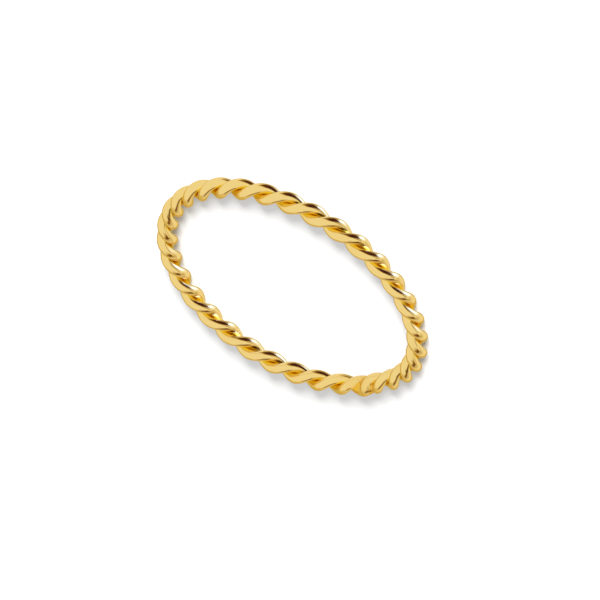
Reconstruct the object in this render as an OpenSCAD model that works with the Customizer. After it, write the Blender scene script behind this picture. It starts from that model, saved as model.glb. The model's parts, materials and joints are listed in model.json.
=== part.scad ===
// Stacking ring of two round gold wires twisted together like a rope.
// The ring lies flat. Z points up, the rope rests on z = 0 and the middle of the finger hole is the origin.
// Angles run anticlockwise seen from above, from the ring's +X side.

/* [Ring] */
// Inside diameter, the finger's own size
finger_d = 17.35; // [14.9:0.05:21.3]
// Diameter of each round wire
wire_d = 0.7; // [0.6:0.01:0.76]
// Hair gap between the two wires where they lie side by side
wire_gap = 0.015; // [0.01:0.005:0.06]

/* [Twist] */
// Half turns of the rope round the ring, odd so that each wire's end meets the other wire's start
half_turns = 33; // [27:2:35]
// Turn of strand a round the rope at angle 0 of the ring
first_turn = 203.2; // [0:0.1:360]

/* [Solder joint] */
// Angle round the ring of the middle of the joint
joint_at = 146.5; // [0:0.5:359.5]
// Length of the joint along the rope
joint_l = 2.3; // [1.8:0.1:3]
// Hair gap between the joint and each strand's end
joint_gap = 0.02; // [0.01:0.01:0.05]
// Radius to which solder fills the grooves in the middle of the joint
fill_mid_r = 0.61; // [0.4:0.01:0.65]
// Radius to which solder fills the grooves at the ends of the joint
fill_end_r = 0.2; // [0.15:0.01:0.35]
// How far the ring is pressed in around the joint
press_depth = 0.34; // [0:0.01:0.4]
// Distance along the ring over which the pressed stretch fades on each side
press_fade = 3.9; // [3:0.1:8]
// How far the joint itself stands out again from the pressed stretch
joint_out = 0.16; // [0:0.01:0.2]
// Distance along the ring over which that fades on each side
out_fade = 0.6; // [0.5:0.05:1.2]
// How far the twist falls behind an even one at the joint, in degrees round the rope
joint_lag = 40; // [0:1:45]
// Distance before the joint's middle over which the twist falls behind
lag_before = 4; // [2.5:0.1:6]
// Distance past the joint's middle over which the twist catches up
lag_after = 1.5; // [1.3:0.1:3]

/* [Hidden] */

gold = "#e8b93c";
wire_r = wire_d / 2;
strand_off = (wire_d + wire_gap) / 2;
rope_r = strand_off + wire_r;
ring_r = finger_d / 2 + rope_r;

// Round the wire, along each turn of the twist, round the joint and along it
wire_sides = 14;
turn_steps = 14;
joint_sides = 32;
joint_steps = 18;
wire_steps = round(turn_steps * half_turns / 2);
// Height difference over which a wire runs smoothly into the solder beside it
fill_blend = 0.16;
// Small angle each way over which a wire's direction is measured
dir_step = 0.05;

deg_per_mm = 180 / (PI * ring_r);
joint_half = joint_l / 2 * deg_per_mm;
gap_half = joint_gap / 2 * deg_per_mm;
strand_from = joint_at + joint_half + gap_half;
strand_to = joint_at - joint_half - gap_half + 360;
joint_from = joint_at - joint_half + gap_half;
joint_to = joint_at + joint_half - gap_half;

function unit(v) = v / norm(v);

// Distance round the ring from the joint's middle to angle t, in mm, less than 0 before the joint
function past_joint(t) = ((t - joint_at + 540) % 360 - 180) / deg_per_mm;

// Share of the lag at angle t: 1 in the middle of the joint, 0 away from it
function lag_share(t) =
  let (
    along = past_joint(t),
    near = max(1 - (along < 0 ? -along / lag_before : along / lag_after), 0)
  )
  near * near * (3 - 2 * near);

// Turn of strand a round the rope at angle t of the ring, a right-hand twist
function turn(t) = first_turn + half_turns / 2 * t - joint_lag * lag_share(t);

// The rope's own centreline: a circle, pressed in a little around the joint
function bell(x) = exp(-x * x);
function rope_radius(t) =
  let (along = past_joint(t))
  ring_r - press_depth * bell(along / press_fade) + joint_out * bell(along / out_fade);
function rope_mid(t) = [rope_radius(t) * cos(t), rope_radius(t) * sin(t), rope_r];
function rope_dir(t) = unit(rope_mid(t + dir_step) - rope_mid(t - dir_step));
function rope_side(t) = cross(rope_dir(t), [0, 0, 1]);

// Direction across the rope at turn a, and the centreline of a strand that is `ahead` of strand a
function across(t, a) = cos(a) * rope_side(t) + sin(a) * [0, 0, 1];
function strand_mid(t, ahead) = rope_mid(t) + strand_off * across(t, turn(t) + ahead);
function strand_dir(t, ahead) = unit(strand_mid(t + dir_step, ahead) - strand_mid(t - dir_step, ahead));

// Ring of points round a strand, square to the wire
function strand_ring(t, ahead) =
  let (
    mid = strand_mid(t, ahead),
    dir = strand_dir(t, ahead),
    side = unit(cross(across(t, turn(t) + ahead), dir)),
    out = cross(dir, side)
  )
  [for (k = [0 : wire_sides - 1])
    let (a = 360 * k / wire_sides)
    mid + wire_r * (cos(a) * out + sin(a) * side)
  ];

// The same ring slid along the wire until it lies flat on the cut across the rope
function strand_cut(t, ahead) =
  let (mid = strand_mid(t, ahead), dir = strand_dir(t, ahead), cut = rope_dir(t))
  [for (p = strand_ring(t, ahead)) p - dir * ((p - mid) * cut) / (dir * cut)];

// Reach of the two wires from the rope's middle, at angle a from the line through both
function wires_reach(a, half_across) =
  let (
    c = abs(cos(a)) / wire_r,
    s = sin(a) / half_across,
    off = strand_off / wire_r,
    inside = c * c * off * off - (c * c + s * s) * (off * off - 1)
  )
  inside <= 0 ? 0 : (c * off + sqrt(inside)) / (c * c + s * s);

// The larger of two reaches, rounded where they come within fill_blend of each other
function blended(a, b) =
  let (near = max(fill_blend - abs(a - b), 0))
  max(a, b) + near * near / (4 * fill_blend);

// Radius of solder in the grooves, full along most of the joint and low at both ends
function fill_r(t) = fill_end_r + (fill_mid_r - fill_end_r) * (1 - pow((t - joint_at) / joint_half, 4));

// Ring of points round the joint: both wires with the grooves between them filled, no thicker than the rope
function joint_ring(t) =
  let (half_across = wire_r / (strand_dir(t, 0) * rope_dir(t)))
  [for (k = [0 : joint_sides - 1])
    let (a = 360 * k / joint_sides, reach = min(blended(wires_reach(a, half_across), fill_r(t)), rope_r))
    rope_mid(t) + reach * across(t, turn(t) + a)
  ];

// Closed skin over a row of rings that all have the same number of points
module skin(rings) {
  sides = len(rings[0]);
  last = len(rings) - 1;
  first_cap = [for (k = [sides - 1 : -1 : 0]) k];
  last_cap = [for (k = [0 : sides - 1]) last * sides + k];
  wall = [
    for (i = [0 : last - 1], k = [0 : sides - 1])
      let (a = i * sides + k, b = i * sides + (k + 1) % sides)
        each [[a, b, a + sides], [b, b + sides, a + sides]]
  ];
  polyhedron(
    points = [for (ring = rings) each ring],
    faces = concat([first_cap], wall, [last_cap]),
    convexity = 10
  );
}

// One round wire, from one side of the joint round to the other
module strand(ahead) {
  step = (strand_to - strand_from) / wire_steps;
  rings = [for (i = [1 : wire_steps - 1]) strand_ring(strand_from + i * step, ahead)];
  color(gold) skin(concat([strand_cut(strand_from, ahead)], rings, [strand_cut(strand_to, ahead)]));
}

module strand_a() {
  strand(0);
}

module strand_b() {
  strand(180);
}

module solder_joint() {
  step = (joint_to - joint_from) / joint_steps;
  color(gold) skin([for (i = [0 : joint_steps]) joint_ring(joint_from + i * step)]);
}

strand_a();
strand_b();
solder_joint();
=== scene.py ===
"""Twisted wire stacking ring: polished gold wires and a solder joint, lying in a white studio."""
import json
import math
from collections import namedtuple

import bpy
import numpy as np
from mathutils import Matrix, Vector

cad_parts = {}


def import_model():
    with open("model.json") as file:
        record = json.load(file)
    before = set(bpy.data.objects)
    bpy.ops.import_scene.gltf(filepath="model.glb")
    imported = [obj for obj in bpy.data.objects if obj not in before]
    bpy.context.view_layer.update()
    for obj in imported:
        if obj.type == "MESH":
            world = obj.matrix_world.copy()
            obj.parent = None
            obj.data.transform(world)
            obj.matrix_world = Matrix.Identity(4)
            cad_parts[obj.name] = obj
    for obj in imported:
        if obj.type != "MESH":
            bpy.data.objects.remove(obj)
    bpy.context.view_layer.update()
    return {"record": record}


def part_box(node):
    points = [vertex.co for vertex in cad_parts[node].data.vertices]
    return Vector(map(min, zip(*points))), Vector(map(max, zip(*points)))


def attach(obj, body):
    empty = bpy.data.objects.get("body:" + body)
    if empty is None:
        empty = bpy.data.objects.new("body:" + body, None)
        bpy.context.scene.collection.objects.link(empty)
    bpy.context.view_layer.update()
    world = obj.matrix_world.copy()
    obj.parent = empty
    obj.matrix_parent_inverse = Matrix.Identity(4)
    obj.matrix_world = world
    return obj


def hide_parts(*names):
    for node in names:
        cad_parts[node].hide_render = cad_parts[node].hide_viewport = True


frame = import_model()

MM = 0.001
UP = np.array([0.0, 0.0, 1.0])

# The ring's own sizes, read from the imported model
finger_mount = next(m for m in frame["record"]["mounts"] if m["name"] == "finger_hole")
strand_low, strand_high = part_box("strand_a")
ROPE_R = (strand_high.z - strand_low.z) / 2
RING_R = finger_mount["dims"]["r_mm"] * MM + ROPE_R
WIRE_R = ROPE_R / 2

# The twist and the joint, as in the model's source: millimetres and degrees round the ring
HALF_TURNS = 33
FIRST_TURN = 203.2
JOINT_AT = 146.5
JOINT_L = 2.3 * MM
PRESS_DEPTH = 0.34 * MM
PRESS_FADE = 3.9 * MM
JOINT_OUT = 0.16 * MM
OUT_FADE = 0.6 * MM
JOINT_LAG = 40
LAG_BEFORE = 4.0 * MM
LAG_AFTER = 1.5 * MM

# Fineness of the meshes
WIRE_SIDES = 64
STEPS_PER_TURN = 88
JOINT_SIDES = 192
JOINT_STEPS = 110
# Steps that bring a point on a wire's skin to its plane across the rope
SLICE_ROUNDS = 8

# Painted shade and reflection in the groove between the wires: where it begins and where it is full, by
# distance from the rope's middle as a share of its radius
GROOVE_SHADE_FROM = 0.58
GROOVE_SHADE_FULL = 0.36
# Light goes to and fro between the wires this often before it is lost
GROOVE_BOUNCES = 12

# Solder in the grooves of the joint
FILL_MID_R = 0.61 * MM
FILL_END_R = 0.2 * MM
# Height difference over which a wire runs smoothly into the solder beside it
FILL_BLEND = 0.16 * MM
# Solder this deep over the groove takes the painted groove shade and reflection in full
FILL_SHADE_DEEP = 0.24 * MM
# Keeps 0 / 0 at 0
TINY = 1e-9

# Gold: the scales of its clouds and grain, the ripple of drawn wire, and how metal tints its edges
CLOUDS = 0.9 / MM
GRAIN = 14 / MM
RIPPLE = 0.005 * MM
NOISE_LOW = 0.3
NOISE_HIGH = 0.7
EDGE_TINT = (0.95, 0.86, 0.7)
# How much deeper the gold gets where it is cloudy, and how its roughness varies
CLOUDED = (0.99, 0.97, 0.88)
ROUGH_LESS = 0.02
ROUGH_MORE = 0.03

# The floor: half its width in metres, its grey and its roughness
FLOOR_HALF = 1
FLOOR_GREY = 0.62
FLOOR_ROUGH = 0.8

# The camera: the photo's view of the ring, through a long lens
IMAGE_PX = 600
PX_PER_MM = 15.168
CENTRE_PX = (291.50, 289.31)
ELEVATION = 31.14
ROLL = 213.7
LENS_MM = 374
SENSOR_MM = 36

# The lamp: degrees round the ring and above the floor, distance and width in metres, and watts
LAMP_AT = 282
LAMP_UP = 17
LAMP_FAR = 0.5
LAMP_SIZE = 0.2
LAMP_POWER = 12

# Studio cards that only reflections see, at this distance in metres. A card's middle lies `across` degrees
# to the camera's right and `up` degrees above its line of sight, both seen from the ring. Half sizes and
# soft edge are shares of its distance. The soft box is the lit one.
CARD_FAR = 0.6
Card = namedtuple("Card", "name across up roll half_wide half_high soft colour lit")
CARDS = (
    Card("dark_panel", 56.6, 49.6, -23.7, 0.683, 0.781, 0.585, (0.064, 0.019, 0.019), False),
    Card("soft_box", 96.5, 35.6, 32.8, 0.571, 0.286, 0.441, (1.4, 1.9, 4.4), True),
    Card("dark_slot", 45, -0.8, -46.7, 0.607, 0.076, 0.04, (0.04, 0.012, 0.01), False),
    Card("dark_corner", 62.9, -62, 36.4, 0.538, 0.046, 0.04, (0.03, 0.01, 0.006), False),
    Card("grey_corner", 78.5, -74, 110.9, 0.593, 0.174, 0.35, (0.12, 0.05, 0.02), False),
    Card("grey_top", 111.2, 54.1, 29.9, 0.771, 0.103, 0.332, (0.384, 0.282, 0.279), False),
    Card("grey_low", 124.1, -64.3, 42.8, 0.042, 1.988, 0.91, (0.5, 0.616, 0.811), False),
    Card("grey_behind", 192.6, -12.9, -21.6, 0.923, 0.676, 1.01, (0.664, 0.609, 0.301), False),
    Card("dark_strip", 155.1, 43, -98.5, 0.603, 0.044, 0.31, (0.069, 0.352, 0.64), False),
)
# The lit card's colour in reflections of reflections, and the glossy depth that they begin past
AGAIN = (2.0, 3.0, 14)
AGAIN_PAST = 1.5
# How much faster green and blue fade than red where an unlit card's edge thins out, as in a gel
GELS = (("Red", 1.0), ("Green", 1.4), ("Blue", 2.7))


def unit(v):
    return v / np.linalg.norm(v, axis=-1, keepdims=True)


def ring_point(t, r):
    """Points at angles t, in degrees, on a circle of radius r at the rope's middle height."""
    a = np.radians(t)
    return np.stack([r * np.cos(a), r * np.sin(a), np.full_like(a, ROPE_R)], axis=-1)


def past_joint(t):
    """Signed distance round the ring from the joint to angle t."""
    return np.radians((t - JOINT_AT + 180) % 360 - 180) * RING_R


def turn(t):
    """Turn of strand a round the rope at angle t of the ring, in degrees: even, but late near the joint."""
    along = past_joint(t)
    near = np.clip(1 - np.where(along < 0, -along / LAG_BEFORE, along / LAG_AFTER), 0, 1)
    return FIRST_TURN + HALF_TURNS / 2 * t - JOINT_LAG * near ** 2 * (3 - 2 * near)


def rope_mid(t):
    """The rope's centreline: a circle, pressed in beside the joint, which stands out a little itself."""
    along = past_joint(t)
    pressed = PRESS_DEPTH * np.exp(-(along / PRESS_FADE) ** 2) - JOINT_OUT * np.exp(-(along / OUT_FADE) ** 2)
    return ring_point(t, RING_R - pressed)


def rope_dir(t, step=0.05):
    return unit(rope_mid(t + step) - rope_mid(t - step))


def across(t, a):
    """Direction across the rope at angle t, turned by a degrees round the rope."""
    a = np.radians(a)[..., None]
    return np.cos(a) * np.cross(rope_dir(t), UP) + np.sin(a) * UP


def strand_mid(t, ahead):
    return rope_mid(t) + WIRE_R * across(t, turn(t) + ahead)


def strand_dir(t, ahead, step=0.05):
    return unit(strand_mid(t + step, ahead) - strand_mid(t - step, ahead))


def add_mesh(name, rings, t, fill_shade=0):
    """A piece of the ring from rings of points round the rope, at angles t.

    Each point keeps its share of painted groove shade and reflection: how deep in the groove it lies, or how
    deep solder has filled the groove under it.
    """
    points = rings.reshape(-1, 3)
    faces = skin_faces(rings.shape[0], rings.shape[1])
    mesh = bpy.data.meshes.new(name)
    mesh.from_pydata(points.tolist(), [], faces)
    mesh.polygons.foreach_set("use_smooth", [len(f) < 5 for f in faces])
    # Share of painted shade and reflection, deepest between the wires and where solder fills the groove
    depth = np.linalg.norm(rings - rope_mid(t)[:, None], axis=-1) / ROPE_R
    share = np.clip(np.maximum((GROOVE_SHADE_FROM - depth) / (GROOVE_SHADE_FROM - GROOVE_SHADE_FULL), fill_shade), 0, 1)
    groove_shade = mesh.attributes.new("groove_shade", "FLOAT", "POINT")
    groove_shade.data.foreach_set("value", (share ** 2 * (3 - 2 * share)).ravel())
    mesh.update()
    rims = {key for cap in mesh.polygons[:2] for key in cap.edge_keys}
    mesh.edges.foreach_set("use_edge_sharp", [edge.key in rims for edge in mesh.edges])
    obj = bpy.data.objects.new(name, mesh)
    bpy.context.scene.collection.objects.link(obj)
    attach(obj, "root")
    return obj


def skin_faces(rings, sides):
    """Quads between neighbouring rings, and a cap at both ends."""
    faces = [list(range(sides)), [(rings - 1) * sides + k for k in reversed(range(sides))]]
    for i in range(rings - 1):
        for k in range(sides):
            a, b = i * sides + k, i * sides + (k + 1) % sides
            faces.append((a, a + sides, b + sides, b))
    return faces


def wire_slices(t, ahead, a):
    """Where a wire's skin, at angles a round the wire, crosses the planes square to the rope at angles t."""
    a, t = np.radians(a)[None, :, None], t[:, None]
    plane_at, plane_dir = rope_mid(t), rope_dir(t)
    at = np.repeat(t, a.shape[1], axis=1)
    for _ in range(SLICE_ROUNDS):
        along, out = strand_dir(at, ahead), across(at, turn(at) + ahead)
        side = unit(np.cross(out, along))
        p = strand_mid(at, ahead) + WIRE_R * (np.cos(a) * np.cross(along, side) + np.sin(a) * side)
        at = at - np.degrees(((p - plane_at) * plane_dir).sum(-1) / RING_R)
    return p


def strand(name, ahead):
    """One round wire, from one side of the joint round to the other."""
    half = math.degrees(JOINT_L / 2 / RING_R)
    t = np.linspace(JOINT_AT + half, JOINT_AT - half + 360, int(STEPS_PER_TURN * HALF_TURNS / 2) + 1)
    rings = wire_slices(t, ahead, np.linspace(0, 360, WIRE_SIDES, endpoint=False))
    obj = add_mesh(name, rings, t)
    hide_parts(name)
    return obj


def wires_reach(t, a):
    """How far both wires reach from the rope's middle, at angles t of the ring and a from strand a."""
    reach = np.zeros((len(t), len(a)))
    for ahead in (0, 180):
        q = wire_slices(t, ahead, np.linspace(-170, 170, 341)) - rope_mid(t)[:, None]
        aside = (q * np.cross(rope_dir(t), UP)[:, None]).sum(-1)
        angle = np.degrees(np.arctan2(q[..., 2], aside)) - (turn(t) + ahead)[:, None]
        angle = (angle + 180) % 360 - 180
        far = np.hypot(aside, q[..., 2])
        here = (a - ahead + 180) % 360 - 180
        for i in range(len(t)):
            order = np.argsort(angle[i])
            reach[i] = np.maximum(reach[i], np.interp(here, angle[i][order], far[i][order], left=0, right=0))
    return reach


def solder_joint():
    """Both wires' ends in one, with solder in the grooves between them that runs smoothly up to the wires."""
    half = math.degrees(JOINT_L / 2 / RING_R)
    t = np.linspace(JOINT_AT - half, JOINT_AT + half, JOINT_STEPS + 1)
    a = np.linspace(0, 360, JOINT_SIDES, endpoint=False)
    reach = wires_reach(t, a)
    ray = np.stack([across(t, turn(t) + x) for x in a], axis=1)
    middle = 1 - ((t - JOINT_AT) / half) ** 4
    fill = (FILL_END_R + (FILL_MID_R - FILL_END_R) * middle)[:, None]
    near = np.maximum(FILL_BLEND - np.abs(reach - fill), 0)
    swell, crest = near ** 2 / (4 * FILL_BLEND), np.maximum(reach, fill)
    room = np.maximum(ROPE_R - crest, 0)
    rings = rope_mid(t)[:, None] + (crest + swell * room / (swell + room + TINY))[..., None] * ray
    # Solder that fills the groove takes the painted groove shade and reflection
    obj = add_mesh("solder_joint", rings, t, (fill - reach) / FILL_SHADE_DEEP)
    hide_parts("solder_joint")
    return obj


def gold(name, open_colour, groove_shade_colour, rough, mottle):
    """Polished gold in softly uneven tones, with the drawn wire's faint ripple, and a painted amber shade and
    reflection in the groove.
    """
    mat = bpy.data.materials.new(name)
    mat.use_nodes = True
    nodes, links = mat.node_tree.nodes, mat.node_tree.links
    shader = nodes["Principled BSDF"]
    shader.inputs["Metallic"].default_value = 1
    shader.inputs["Specular Tint"].default_value = (*EDGE_TINT, 1)
    coords = nodes.new("ShaderNodeTexCoord")

    def noise(scale, detail):
        node = nodes.new("ShaderNodeTexNoise")
        node.inputs["Scale"].default_value = scale
        node.inputs["Detail"].default_value = detail
        links.new(coords.outputs["Object"], node.inputs["Vector"])
        return node.outputs["Fac"]

    def spread(value, low, high):
        node = nodes.new("ShaderNodeMapRange")
        node.inputs["From Min"].default_value = NOISE_LOW
        node.inputs["From Max"].default_value = NOISE_HIGH
        node.inputs["To Min"].default_value = low
        node.inputs["To Max"].default_value = high
        links.new(value, node.inputs["Value"])
        return node.outputs["Result"]

    def mixed(share, first, second):
        node = nodes.new("ShaderNodeMix")
        node.data_type = "RGBA"
        links.new(share, node.inputs["Factor"])
        for socket, colour in ((node.inputs["A"], first), (node.inputs["B"], second)):
            if isinstance(colour, tuple):
                socket.default_value = (*colour, 1)
            else:
                links.new(colour, socket)
        return node.outputs["Result"]

    cloud, grain = noise(CLOUDS, 2), noise(GRAIN, 4)
    # Painted shade and reflection in the groove, read from a point attribute, laid over the gold's own tone
    depth = nodes.new("ShaderNodeAttribute")
    depth.attribute_name = "groove_shade"
    deeper = tuple(c * k for c, k in zip(open_colour, CLOUDED))
    open_gold = mixed(spread(cloud, 0, mottle), open_colour, deeper)
    links.new(mixed(depth.outputs["Fac"], open_gold, groove_shade_colour), shader.inputs["Base Color"])
    links.new(spread(grain, rough - ROUGH_LESS, rough + ROUGH_MORE), shader.inputs["Roughness"])
    bump = nodes.new("ShaderNodeBump")
    bump.inputs["Strength"].default_value = 1
    bump.inputs["Distance"].default_value = RIPPLE
    links.new(cloud, bump.inputs["Height"])
    links.new(bump.outputs["Normal"], shader.inputs["Normal"])
    return mat


def camera_axes():
    """The photo's right, top and view axes at the lying ring: the camera is raised and rolled."""
    e, g = math.radians(ELEVATION), math.radians(ROLL)
    back = Vector((0, -math.cos(e), math.sin(e)))
    level, rise = Vector((1, 0, 0)), Vector((0, math.sin(e), math.cos(e)))
    return math.cos(g) * level + math.sin(g) * rise, math.cos(g) * rise - math.sin(g) * level, back


def camera():
    """A long lens at the photo's angle to the ring, with the ring where the photo has it in the frame."""
    right, top, back = camera_axes()
    px_per_m = PX_PER_MM / MM
    distance = LENS_MM / SENSOR_MM * IMAGE_PX / px_per_m
    aside = (CENTRE_PX[0] - IMAGE_PX / 2) / px_per_m
    above = (IMAGE_PX / 2 - CENTRE_PX[1]) / px_per_m
    place = Vector((0, 0, ROPE_R)) + distance * back - aside * right - above * top
    data = bpy.data.cameras.new("camera")
    data.lens, data.sensor_width = LENS_MM, SENSOR_MM
    data.clip_start, data.clip_end = 0.01, 10
    cam = bpy.data.objects.new("camera", data)
    cam.matrix_world = Matrix.Translation(place) @ Matrix((right, top, back)).transposed().to_4x4()
    bpy.context.scene.collection.objects.link(cam)
    bpy.context.scene.camera = cam


def panel(name, half_wide, half_high, material):
    """A flat rectangle of the studio, which isn't part of the ring."""
    w, h = half_wide, half_high
    mesh = bpy.data.meshes.new(name)
    mesh.from_pydata([(-w, -h, 0), (w, -h, 0), (w, h, 0), (-w, h, 0)], [], [(0, 1, 2, 3)])
    mesh.materials.append(material)
    obj = bpy.data.objects.new(name, mesh)
    bpy.context.scene.collection.objects.link(obj)
    return obj


def floor():
    """A plain pale floor. It stays out of reflections, because the photo's ring stands free of its floor."""
    mat = bpy.data.materials.new("floor")
    mat.use_nodes = True
    shader = mat.node_tree.nodes["Principled BSDF"]
    shader.inputs["Base Color"].default_value = (FLOOR_GREY, FLOOR_GREY, FLOOR_GREY, 1)
    shader.inputs["Roughness"].default_value = FLOOR_ROUGH
    panel("floor", FLOOR_HALF, FLOOR_HALF, mat).visible_glossy = False


def card(spec):
    """A flat card that faces the ring. It shows in reflections alone."""
    right, top, back = camera_axes()
    a, e, r = math.radians(spec.across), math.radians(spec.up), math.radians(spec.roll)
    out = math.cos(e) * (math.sin(a) * right + math.cos(a) * back) + math.sin(e) * top
    level = math.cos(a) * right - math.sin(a) * back
    rise = out.cross(level)
    wide, high = math.cos(r) * level + math.sin(r) * rise, math.cos(r) * rise - math.sin(r) * level
    w, h = spec.half_wide + spec.soft / 2, spec.half_high + spec.soft / 2
    obj = panel(spec.name, w, h, card_light(spec, w, h))
    turned = Matrix((wide, high, out)).transposed().to_4x4()
    obj.matrix_world = Matrix.Translation(CARD_FAR * out) @ turned @ Matrix.Scale(CARD_FAR, 4)
    obj.visible_camera = obj.visible_diffuse = obj.visible_shadow = obj.visible_transmission = False


def card_light(spec, half_wide, half_high):
    """Even light over a card that thins out softly at its edges."""
    mat = bpy.data.materials.new(spec.name)
    mat.use_nodes = True
    nodes, links = mat.node_tree.nodes, mat.node_tree.links
    nodes.clear()

    def calc(operation, *values):
        node = nodes.new("ShaderNodeMath")
        node.operation = operation
        for socket, value in zip(node.inputs, values):
            if isinstance(value, (int, float)):
                socket.default_value = value
            else:
                links.new(value, socket)
        return node.outputs[0]

    coords = nodes.new("ShaderNodeTexCoord")
    part = nodes.new("ShaderNodeSeparateXYZ")
    links.new(coords.outputs["Object"], part.inputs[0])
    fade = []
    for axis, half in (("X", half_wide), ("Y", half_high)):
        ramp = nodes.new("ShaderNodeMapRange")
        ramp.interpolation_type = "SMOOTHSTEP"
        ramp.inputs["From Min"].default_value = half
        ramp.inputs["From Max"].default_value = half - spec.soft
        links.new(calc("ABSOLUTE", part.outputs[axis]), ramp.inputs["Value"])
        fade.append(ramp.outputs["Result"])
    share = calc("MULTIPLY", *fade)
    clear = nodes.new("ShaderNodeBsdfTransparent")
    glow = nodes.new("ShaderNodeEmission")
    glow.inputs["Color"].default_value = (*spec.colour, 1)
    if spec.lit:
        way = nodes.new("ShaderNodeLightPath")
        tone = nodes.new("ShaderNodeMix")
        tone.data_type = "RGBA"
        links.new(calc("GREATER_THAN", way.outputs["Glossy Depth"], AGAIN_PAST), tone.inputs["Factor"])
        tone.inputs["A"].default_value = (*spec.colour, 1)
        tone.inputs["B"].default_value = (*AGAIN, 1)
        links.new(tone.outputs["Result"], glow.inputs["Color"])
    else:
        gel = nodes.new("ShaderNodeCombineColor")
        left = calc("SUBTRACT", 1, share)
        for channel, power in GELS:
            links.new(calc("POWER", left, power - 1), gel.inputs[channel])
        links.new(gel.outputs[0], clear.inputs["Color"])
    mix = nodes.new("ShaderNodeMixShader")
    links.new(share, mix.inputs[0])
    links.new(clear.outputs[0], mix.inputs[1])
    links.new(glow.outputs[0], mix.inputs[2])
    links.new(mix.outputs[0], nodes.new("ShaderNodeOutputMaterial").inputs[0])
    return mat


def world():
    """Even white light from all round."""
    studio = bpy.data.worlds.new("studio")
    studio.use_nodes = True
    studio.node_tree.nodes["Background"].inputs["Color"].default_value = (1, 1, 1, 1)
    bpy.context.scene.world = studio


def lamp():
    """A wide soft lamp, low on the camera's side. The ring's shadow falls away from the camera."""
    a, e = math.radians(LAMP_AT), math.radians(LAMP_UP)
    out = Vector((math.cos(a) * math.cos(e), math.sin(a) * math.cos(e), math.sin(e)))
    data = bpy.data.lights.new("lamp", "AREA")
    data.shape = "DISK"
    data.size = LAMP_SIZE
    data.energy = LAMP_POWER
    obj = bpy.data.objects.new("lamp", data)
    obj.location = LAMP_FAR * out
    obj.rotation_mode = "QUATERNION"
    obj.rotation_quaternion = out.to_track_quat("Z", "Y")
    bpy.context.scene.collection.objects.link(obj)
    obj.visible_glossy = False


camera()
# Each gold's second colour is the painted shade and reflection in the groove
wire_gold = gold("wire_gold", (0.875, 0.648, 0.24), (0.92, 0.73, 0.13), 0.14, 0.5)
solder_gold = gold("solder_gold", (0.87, 0.635, 0.23), (0.8, 0.47, 0.05), 0.22, 1)
strand("strand_a", 0).data.materials.append(wire_gold)
strand("strand_b", 180).data.materials.append(wire_gold)
solder_joint().data.materials.append(solder_gold)
floor()
lamp()
for spec in CARDS:
    card(spec)
world()
bpy.context.scene.view_settings.view_transform = "Standard"
bpy.context.scene.cycles.glossy_bounces = GROOVE_BOUNCES
